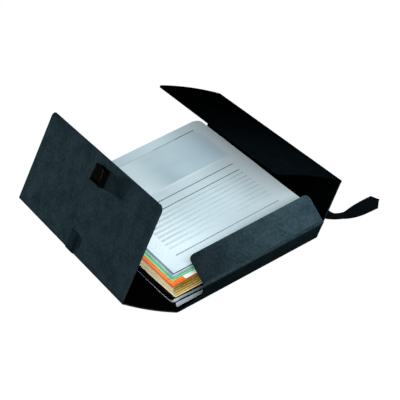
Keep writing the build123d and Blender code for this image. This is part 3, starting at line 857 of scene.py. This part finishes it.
def card(name, first, second, rough=0.82, specular=0.1, left=None, left_light_share=0.8):
    """Paper or card between two tones, each leaf with its own, its fibres, and painted light and shade on its
    left side.
    """
    look = Finish(name, specular=specular)
    fibres = look.streaks((500.0, 1500.0, 1500.0), 4.0, 0.65)
    clouds = look.noise(30.0, 2.0, 0.5)
    fibre_tone = look.smooth(fibres, 0.3, 0.7, -0.14, 0.14)
    cloud_tone = look.smooth(clouds, 0.3, 0.7, -0.08, 0.08)
    share = look.calc("ADD", look.calc("ADD", look.leaf(), fibre_tone), cloud_tone)
    colour = look.mix(share, first, second)
    # Painted light and shade: the left-facing side's own colour, for how light falls on it
    if left is not None:
        facing = look.smooth(look.facing(-ALONG_X), *LEFT_LIGHT_FACING, 0.0, left_light_share)
        colour = look.mix(facing, colour, left)
    return look.done(colour, fibres, (rough - 0.08, rough + 0.08), fibres, 0.03 * MM, 0.5)


class Sheet(NamedTuple):
    """A sheet's outline: its left and near edges, its size, and the radii of its near and far corners."""

    left: float
    near: float
    width: float
    length: float
    near_corner: float = LEAF_CORNER
    far_corner: float = LEAF_CORNER

    def rows(self, breaks):
        """Rows across the sheet, from its far end: (Y, inset of its ends)."""
        near = self.near + self.near_corner
        far = self.near + self.length - self.far_corner
        rows = [(place, 0.0) for place in breaks if near < place < far]
        for step in range(ROUND_STEPS + 1):
            angle = pi / 2 * step / ROUND_STEPS
            inset = 1 - sin(angle)
            rows.append((near - self.near_corner * cos(angle), self.near_corner * inset))
            rows.append((far + self.far_corner * cos(angle), self.far_corner * inset))
        return sorted(rows, reverse=True)


def add_sheet(pieces, sheet, low, high, breaks=(), columns=LEAF_COLUMNS, value=0.0):
    """Adds a closed sheet between two surfaces, each a function of x and y."""
    rings = []
    for y, inset in sheet.rows(breaks):
        step = (sheet.width - 2 * inset) / columns
        places = [sheet.left + inset + step * column for column in range(columns + 1)]
        under = [pieces.add((x, y, low(x, y)), value, (x, y)) for x in places]
        over = [pieces.add((x, y, high(x, y)), value, (x, y)) for x in places]
        rings.append(under + over[::-1])
    pieces.skin(rings)
    for ring in (rings[0], rings[-1]):
        for column in range(columns):
            pieces.faces.append((ring[column], ring[column + 1], ring[-2 - column], ring[-1 - column]))


def lay(piece, node):
    """Puts a piece among the papers, for its CAD node."""
    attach(piece, "papers")
    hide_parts(node)


def layer(surface, share):
    """The surface at a share of a pile's height."""
    return lambda x, y: surface(share, x, y)


def pile(name, node, material, stray, tones, surface, breaks=(), gap=0.12, foot=0.0):
    """Loose sheets that fill a node's space, one for each tone, or for each range that a tone is drawn from.

    surface(share, x, y) gives the height at a share of the pile. The gap over each sheet is a share of its
    space, and the foot a share of the pile's height left empty."""
    pieces = Pieces()
    low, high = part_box(node)
    space = (1 - foot) / len(tones)
    for number, tone in enumerate(tones):
        shift_x = leaves.uniform(-stray, stray)
        shift_y = leaves.uniform(-stray, stray)
        if isinstance(tone, tuple):
            tone = leaves.uniform(*tone)
        sheet = Sheet(low.x + shift_x, low.y + shift_y, high.x - low.x, high.y - low.y)
        under = layer(surface, foot + space * number)
        over = layer(surface, foot + space * (number + 1 - gap))
        add_sheet(pieces, sheet, under, over, breaks, value=tone)
    lay(pieces.build(name, material), node)


def flat_surface(node):
    """Heights within a node with flat faces."""
    low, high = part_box(node)
    return lambda share, x, y: low.z + (high.z - low.z) * share


SLOPE_END = NEAR_EDGE + 80.3 * MM
SLOPE_BREAKS = (SLOPE_END,)
BUFF_NEAR_RISE = 5.5 * MM
WALLET_WALL = 0.8 * MM
PAPER_GAP = 0.1 * MM
THINNEST_PILE = 0.3 * MM
buff_low, buff_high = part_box("buff_folders")
wallet_low, wallet_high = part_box("wallet")
WALLET_FLAT_TOP = wallet_low.z + 2 * WALLET_WALL


def buff_floor(y):
    """Underside of the buff folders, lifted at its near end by the wallet."""
    return between(y, buff_low.y, SLOPE_END, buff_low.z + BUFF_NEAR_RISE, buff_low.z)


def wallet_top(y):
    """The wallet's top sheet, sloping down from its propped near end."""
    return between(y, wallet_low.y + WALLET_WALL, SLOPE_END, wallet_high.z, WALLET_FLAT_TOP)


def buff_surface(share, x, y):
    return buff_floor(y) + (buff_high.z - buff_floor(y)) * share


def dark_wedge_surface(share, x, y):
    low = wallet_top(y) + PAPER_GAP
    return low + (buff_floor(y) - 2 * PAPER_GAP - low) * share


def wallet_papers_surface(share, x, y):
    low = wallet_low.z + WALLET_WALL + PAPER_GAP
    high = max(wallet_top(y) - WALLET_WALL - PAPER_GAP, low + THINNEST_PILE)
    return low + (high - low) * share


# Each card's left colour is the painted light and shade of its left side
white_card = card("white_paper", (0.13, 0.185, 0.24), (0.72, 0.80, 0.86),
                  left=(0.36, 0.42, 0.50), left_light_share=0.4)
tab_card = card("tab_card", (0.60, 0.68, 0.66), (0.84, 0.92, 0.90))
green_card = card("green_card", (0.035, 0.21, 0.12), (0.20, 0.84, 0.34),
                  left=(0.20, 0.78, 0.45), left_light_share=0.75)
orange_card = card("orange_card", (0.30, 0.055, 0.006), (0.96, 0.21, 0.03),
                   left=(0.28, 0.036, 0.006), left_light_share=0.55)
buff_card = card("buff_card", (0.13, 0.080, 0.003), (0.84, 0.62, 0.22),
                 left=(0.60, 0.54, 0.39), left_light_share=0.75)
dark_card = card("dark_card", (0.0010, 0.0012, 0.0014), (0.004, 0.005, 0.006), specular=0.0)

pile("buff_leaves", "buff_folders", buff_card, 0.5 * MM,
     [1.0, 0.30, 0.60, 0.15, 0.50, 0.12, 0.34, 0.06, 0.20], buff_surface, SLOPE_BREAKS, foot=0.07)
pile("orange_leaves", "orange_dividers", orange_card, 0.5 * MM,
     [0.10, 0.45, 0.85, 0.60, 1.0], flat_surface("orange_dividers"), gap=0.1)
pile("green_leaves", "green_dividers", green_card, 0.4 * MM,
     [0.15, 1.0, 0.30], flat_surface("green_dividers"), gap=0.16, foot=0.32)
# The sheets at 0.05 and 0.0 are painted dark blue grey, as painted shade for the dark lines between the white
# sheets
pile("white_leaves", "white_sheets", white_card, 0.6 * MM,
     [0.50, 0.05, 1.0, 0.90, 0.0], flat_surface("white_sheets"), gap=0.25)
# Near-black sheets fill the dark wedge between the wallet and the buff folders
pile("dark_leaves", "dark_file", dark_card, 0.6 * MM,
     [(0.2, 0.8)] * 4, dark_wedge_surface, SLOPE_BREAKS)
pile("wallet_leaves", "wallet_papers", dark_card, 0.6 * MM,
     [(0.0, 1.0)] * 6, wallet_papers_surface, SLOPE_BREAKS)

TAB_REACH = 7.5 * MM
TAB_WIDTH = 21 * MM
TAB_FROM_LEFT = 24.0 * MM
TAB_FAR_CORNER = 0.5 * MM


def make_tab_sheet():
    """A white sheet with a thicker tab that stands out at the near end."""
    low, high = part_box("tab_sheet")
    rise = flat_surface("tab_sheet")
    pieces = Pieces()
    body = Sheet(low.x, low.y + TAB_REACH, high.x - low.x, high.y - low.y - TAB_REACH)
    add_sheet(pieces, body, layer(rise, 0.35), layer(rise, 0.9), value=0.2)
    tab = Sheet(LEFT_EDGE + TAB_FROM_LEFT, low.y, TAB_WIDTH, 2 * TAB_REACH, far_corner=TAB_FAR_CORNER)
    add_sheet(pieces, tab, layer(rise, 0.3), layer(rise, 0.95), value=1.0)
    lay(pieces.build("tab_leaf", tab_card), "tab_sheet")


make_tab_sheet()


# The clear wallet: dark film over dark papers, with a pleat of two bands at its near end. The upper band runs
# round the near left corner into the seam along the left side.
FILM = 0.35 * MM
FILM_COLOUR = (0.006, 0.009, 0.011)
FILM_INDEX = 1.45
FILM_SPECULAR = 0.05
FILM_TONE = 0.4
FILM_COLUMNS = 6
SLEEVE_INSET = 1.0 * MM
SLEEVE_DROP = 0.5 * MM
SLEEVE_LOWER_CORNERS = (10 * MM, 4 * MM)
SLEEVE_UPPER_CORNERS = (6 * MM, 4 * MM)
SLEEVE_BREAKS = (wallet_low.y + 20 * MM, wallet_low.y + 45 * MM, SLOPE_END)
FILM_SMOOTH = 30
BAND_SMOOTH = 50
BAND_SECTION = ((0.4, -1.0), (1.0, -0.7), (1.0, 0.7), (0.4, 1.0), (-1.0, 1.0), (-1.0, -1.0))
# Along each band, from right to left: (x and y from the base's corner, middle height, band's height, tone, which
# is painted light and shade along the band)
BANDS = {
    "wallet_upper_band": [
        (220.0, 7.6, 12.0, 4.4, 0.10), (120.0, 7.6, 12.8, 4.4, 0.15), (47.0, 7.6, 14.5, 3.8, 0.30),
        (28.0, 7.6, 15.5, 4.0, 0.50), (13.5, 7.6, 16.4, 4.2, 0.75), (8.5, 8.2, 15.4, 4.8, 1.0),
        (5.2, 10.0, 14.0, 4.8, 1.0), (3.6, 13.0, 11.6, 4.2, 1.0), (2.9, 18.0, 8.8, 3.0, 0.95),
        (2.8, 26.0, 6.6, 1.7, 0.9), (2.8, 40.0, 5.4, 1.4, 0.8), (2.8, 60.0, 4.7, 1.3, 0.7),
        (2.8, 90.0, 4.0, 1.2, 0.6), (2.8, 200.0, 3.7, 1.2, 0.5), (2.8, 309.0, 3.7, 1.2, 0.5),
    ],
    "wallet_lower_band": [
        (220.0, 7.8, 5.2, 4.2, 0.5), (120.0, 7.8, 5.4, 4.6, 0.6), (47.0, 7.8, 6.4, 6.0, 0.8),
        (20.0, 7.8, 7.0, 7.0, 0.95), (9.0, 7.8, 7.2, 7.6, 1.0), (6.0, 7.9, 7.2, 7.4, 1.0),
        (4.8, 8.2, 7.2, 6.0, 0.9),
    ],
}


def page_place(x, y):
    """A place given in millimetres from the base's left and near edges."""
    return LEFT_EDGE + x * MM, NEAR_EDGE + y * MM


def band(name, route, material):
    """An upright band of film along a route."""
    pieces = Pieces()
    rings = []
    line = [Vector((*page_place(x, y), z * MM)) for x, y, z, height, tone in route]
    for point, ahead, (x, y, z, height, tone) in zip(line, directions(line), route):
        out = Vector((-ahead.y, ahead.x, 0)).normalized() * FILM
        up = UPWARDS * (height * MM / 2)
        flat = (x * MM, z * MM)
        rings.append([pieces.add(point + out * side + up * over, tone, flat) for side, over in BAND_SECTION])
    pieces.loop_solid(rings)
    return pieces.build(name, material, BAND_SMOOTH)


def make_wallet():
    """The wallet's lower and upper film, and its pleat."""
    left, near = wallet_low.x, wallet_low.y + SLEEVE_INSET
    width, length = wallet_high.x - left, wallet_high.y - near
    slab = Pieces()
    lower = Sheet(left, near, width, length, *SLEEVE_LOWER_CORNERS)
    add_sheet(slab, lower, lambda x, y: wallet_low.z, lambda x, y: wallet_low.z + FILM,
              columns=FILM_COLUMNS, value=FILM_TONE)
    upper = Sheet(left + 2 * SLEEVE_INSET, near, width - 4 * SLEEVE_INSET, length - 5 * SLEEVE_INSET,
                  *SLEEVE_UPPER_CORNERS)
    add_sheet(slab, upper, lambda x, y: wallet_top(y) - SLEEVE_DROP - FILM,
              lambda x, y: wallet_top(y) - SLEEVE_DROP, SLEEVE_BREAKS, FILM_COLUMNS, FILM_TONE)
    film = streaked("wallet_film", (60.0, 14.0, 60.0), 2.0, 0.5, shade(FILM_COLOUR, 0.82),
                    shade(FILM_COLOUR, 1.1), (0.29, 0.43), 0.15 * MM, 0.35, FILM_SPECULAR)
    film.node_tree.nodes["Principled BSDF"].inputs["IOR"].default_value = FILM_INDEX
    lay(slab.build("wallet_sleeve", film, FILM_SMOOTH), "wallet")
    band_film = card("wallet_band", (0.040, 0.070, 0.095), (0.36, 0.43, 0.47), 0.45, 0.05,
                     left=(0.55, 0.61, 0.57))
    for name, route in BANDS.items():
        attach(band(name, route, band_film), "papers")


make_wallet()


# The index sheet, with its rules and window, whose places are in millimetres from the base's left and near edges
index_low, index_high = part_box("index_sheet")
PAGE_CORNER = 12 * MM
PAGE_THICK = 0.45 * MM
PAGE_COLUMNS = 16
PAGE_ROWS = 32
PAGE_WAVES = 1.6
PAGE_DIP = 0.22 * MM
PAGE_WAVER = 1.7 * MM
WAVER_REACH = 60 * MM
PAGE_SMOOTH = 30
PAGE_PAINTED_LIGHT = (0.84, 0.96, 1.0)
PAGE_WIDTH = (index_high.x - index_low.x) / MM
# Painted light along the page's right and left sides, where the covers shade it, and painted shade over its near
# end
PAGE_LIGHT_AND_SHADE = [
    (PAGE_PAINTED_LIGHT, ALONG_X, PAGE_WIDTH - 48, PAGE_WIDTH - 8, 0.0, 1.0),
    (PAGE_PAINTED_LIGHT, ALONG_X, 0, 95, 0.9, 0.0),
    ((0.52, 0.63, 0.67), ALONG_Y, 0, 110, 1.0, 0.0),
]
PRINT_LEAN = 0.014
PRINT_THICK = 0.05 * MM
PRINT_COLUMNS = 14
WINDOW_LEFT, WINDOW_NEAR, WINDOW_WIDTH, WINDOW_LENGTH = 30.0, 188.5, 184.5, 96.0
WINDOW_TOP = WINDOW_NEAR + WINDOW_LENGTH
WINDOW_RIGHT = WINDOW_LEFT + WINDOW_WIDTH
# Painted light towards the window's right, far and left edges
WINDOW_PAINTED_LIGHT = [
    ((0.66, 0.86, 0.95), ALONG_X, 95, 175, 0.0, 0.75),
    ((0.68, 0.82, 0.86), ALONG_Y, 15, WINDOW_LENGTH, 0.0, 0.3),
    ((0.82, 0.96, 1.0), ALONG_X, 48, 96, 1.0, 0.0),
]
BORDER = 5.0
BORDER_GAP = 12.0
FIELD_LEFT = 34.3
FIELD_WIDTH = 175.5
RULE_STEP = 10.6
FIRST_RULE = 133.8
RULE_COUNT = 8
FAINT_HALF = 0.9
FAINT_TONE = 0.92
SOFT_TONE = 0.97
# Printed rules, and a painted shadow along the window's top edge, darkest at its right end: (left end, near
# edge, length, thickness, tone)
RULES_AND_SHADOW = [
    (FIELD_LEFT, 163.0, FIELD_WIDTH + 1.0, 1.4, 0.0),
    (FIELD_LEFT, 143.4, FIELD_WIDTH, 1.4, 0.0),
    (FIELD_LEFT, 38.4, FIELD_WIDTH, 1.0, 0.10),
    # Painted shadow under the window's top edge, fading leftwards
    (WINDOW_RIGHT - 34.0, WINDOW_TOP, 34.0, 1.5, 0.02),
    (WINDOW_RIGHT - 74.0, WINDOW_TOP, 40.0, 1.1, 0.25),
    (WINDOW_LEFT, WINDOW_TOP, WINDOW_WIDTH - 74.0, 0.7, 0.62),
]
# A faint rule's three bands: (near edge from its middle, thickness, tone)
FAINT_BANDS = [
    (-FAINT_HALF, 2 * FAINT_HALF, FAINT_TONE),
    (FAINT_HALF, FAINT_HALF, SOFT_TONE),
    (-2 * FAINT_HALF, FAINT_HALF, SOFT_TONE),
]


def right_share(x):
    """How far a place is into the page's right strip, from 0 to 1."""
    return between(x, index_high.x - WAVER_REACH, index_high.x, 0.0, 1.0)


def page_surface(x, y):
    """Top of the index sheet, which lifts and dips a little along its right edge."""
    wave = sin((y - index_low.y) / (index_high.y - index_low.y) * 2 * PAGE_WAVES * pi)
    return index_high.z - PAGE_DIP * right_share(x) ** 2 * (1 + wave)


def over_page(lift):
    """A surface at a height over the page."""
    return lambda x, y: page_surface(x, y) + lift


def page_breaks():
    """Where the page's surface is divided along its length."""
    step = (index_high.y - index_low.y) / PAGE_ROWS
    return [index_low.y + step * row for row in range(1, PAGE_ROWS)]


def page_paper():
    """The index sheet's paper: cool white with a soft tooth, with painted light at its sides and painted shade
    at its near end.
    """
    look = Finish("page_paper", specular=0.05)
    fibres = look.noise(900.0, 4.0, 0.65)
    clouds = look.smooth(look.noise(22.0, 2.0, 0.5), 0.35, 0.7, 0.0, 0.25)
    colour = look.mix(look.smooth(fibres, 0.2, 0.8), (0.635, 0.77, 0.815), (0.695, 0.83, 0.87))
    colour = look.mix(clouds, colour, (0.62, 0.73, 0.82))
    colour = look.faded(colour, index_low, PAGE_LIGHT_AND_SHADE)
    return look.done(colour, fibres, (0.6, 0.75), fibres, 0.02 * MM, 0.4)


def window_sheet():
    """The window's film over grey paper, with painted light towards its left, right and far edges."""
    look = Finish("window_film", specular=0.05)
    clouds = look.smooth(look.noise(26.0, 3.0, 0.55), 0.3, 0.7)
    streaks = look.streaks((20.0, 160.0, 20.0), 2.0, 0.5)
    corner = Vector((*page_place(WINDOW_LEFT, WINDOW_NEAR), 0))
    colour = look.mix(clouds, (0.475, 0.61, 0.66), (0.525, 0.665, 0.725))
    colour = look.faded(colour, corner, WINDOW_PAINTED_LIGHT)
    return look.done(colour, streaks, (0.32, 0.48), streaks, 0.03 * MM, 0.3)


def make_page():
    """The index sheet, its right edge drawn in along its middle."""
    pieces = Pieces()
    size = index_high - index_low
    outline = Sheet(index_low.x, index_low.y, size.x, size.y, far_corner=PAGE_CORNER)
    add_sheet(pieces, outline, over_page(-PAGE_THICK), page_surface, page_breaks(), PAGE_COLUMNS, 0.5)
    for point in pieces.points:
        reach = between(point.y, index_low.y + WAVER_REACH, index_high.y - WAVER_REACH, 1.0, 0.0)
        point.x -= PAGE_WAVER * right_share(point.x) * reach
    lay(pieces.build("index_page", page_paper(), PAGE_SMOOTH), "index_sheet")


def on_page(name, patches, material, lift):
    """Thin printed or laid-on patches that follow the page: (x, y, width, length, tone)."""
    pieces = Pieces()
    pivot = page_place(FIELD_LEFT, 0)[0]
    for x, y, width, length, tone in patches:
        sheet = Sheet(*page_place(x, y), width * MM, length * MM, PRINT_THICK, PRINT_THICK)
        surfaces = over_page(lift - PRINT_THICK), over_page(lift)
        add_sheet(pieces, sheet, *surfaces, page_breaks(), PRINT_COLUMNS, tone)
    for point in pieces.points:
        point.y += PRINT_LEAN * (point.x - pivot)
    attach(pieces.build(name, material), "papers")


make_page()
window_film = window_sheet()
border_film = card("window_border", (0.62, 0.76, 0.86), (0.84, 0.94, 1.0), 0.5, 0.05)
ink_and_shadow = card("rule_ink_and_painted_shadow", (0.010, 0.022, 0.034), (0.60, 0.735, 0.79), 0.6, 0.05)
window = [(WINDOW_LEFT, WINDOW_NEAR, WINDOW_WIDTH, WINDOW_LENGTH, 0.5)]
borders = [
    (WINDOW_LEFT, WINDOW_NEAR - BORDER, WINDOW_WIDTH + BORDER, BORDER, 0.6),
    (WINDOW_RIGHT, WINDOW_NEAR, BORDER, WINDOW_LENGTH - BORDER_GAP, 0.5),
]
faint_rules = [
    (FIELD_LEFT, FIRST_RULE - RULE_STEP * number + start, FIELD_WIDTH, thick, tone)
    for number in range(RULE_COUNT) for start, thick, tone in FAINT_BANDS
]
on_page("index_window", window, window_film, 0.06 * MM)
on_page("window_border", borders, border_film, 0.10 * MM)
on_page("index_rules_and_painted_shadow", RULES_AND_SHADOW + faint_rules, ink_and_shadow, 0.14 * MM)


# Floor, light and background
WHITE = (1.0, 1.0, 1.0)
FLOOR_SIZE = 6.0
FLOOR_DROP = 0.02 * MM
FLOOR_COLOUR = (0.35, 0.35, 0.35)
FLOOR_WHITE = 0.86
FLOOR_GLOW = 1.14
AMBIENT = 0.32
AMBIENT_TINT = (0.72, 0.90, 1.0)
# How much more power a kind of lamp spreads than an area lamp, for the same brightness
LAMP_SPREAD = {"AREA": 1, "SPOT": 4}


def make_floor():
    """A pale floor that looks white and keeps a faint shadow."""
    half = FLOOR_SIZE / 2
    corners = [(-half, -half, 0), (half, -half, 0), (half, half, 0), (-half, half, 0)]
    mesh = bpy.data.meshes.new("floor")
    mesh.from_pydata(corners, [], [(0, 1, 2, 3)])
    floor = add_object("floor", mesh)
    floor.location.z = -FLOOR_DROP
    material = bpy.data.materials.new("pale_floor")
    material.use_nodes = True
    nodes = Nodes(material.node_tree)
    nodes.tree.nodes.clear()
    diffuse = nodes.node("BsdfDiffuse", {"Color": FLOOR_COLOUR})[0]
    glow = nodes.node("Emission", {"Strength": FLOOR_GLOW})[0]
    share = nodes.calc("MULTIPLY", nodes.seen_directly(), FLOOR_WHITE)
    mixed = nodes.node("MixShader", {0: share, 1: diffuse, 2: glow})[0]
    nodes.node("OutputMaterial", {"Surface": mixed})
    mesh.materials.append(material)


def make_world():
    """White to the camera, mirrors and glass, and a weak even light to everything else."""
    world = bpy.data.worlds.new("studio")
    bpy.context.scene.world = world
    world.use_nodes = True
    nodes = Nodes(world.node_tree)
    background = nodes.tree.nodes["Background"]
    direct = nodes.seen_directly()
    levels = {"Value": direct, "To Min": AMBIENT, "To Max": 1.0}
    nodes.feed(background.inputs["Color"], nodes.mix(direct, AMBIENT_TINT, WHITE))
    nodes.feed(background.inputs["Strength"], nodes.node("MapRange", levels)["Result"])


def lamp(name, kind, direction, distance, level, aim, **settings):
    """A lamp that gives a white surface facing it that level of brightness."""
    data = bpy.data.lights.new(name, kind)
    for setting, value in settings.items():
        setattr(data, setting, value)
    data.energy = level * LAMP_SPREAD[kind] * pi**2 * distance**2
    away = Vector(direction).normalized()
    made = add_object(name, data)
    made.location = aim + away * distance
    made.rotation_mode = "QUATERNION"
    made.rotation_quaternion = away.to_track_quat("Z", "Y")


make_floor()
make_world()
lamp("key", "AREA", (-0.20, -0.76, 0.62), 1.8, 1.42, Vector((0, 0, 0.06)),
     shape="RECTANGLE", size=2.0, size_y=1.0)
lamp("low_back", "SPOT", (-0.20, 0.975, 0.05), 1.5, 5.5, left_cover.at(left_cover.depth / 2, 0),
     shadow_soft_size=0.04, spot_size=radians(8.6), spot_blend=0.3)
bpy.context.scene.view_settings.view_transform = "Standard"
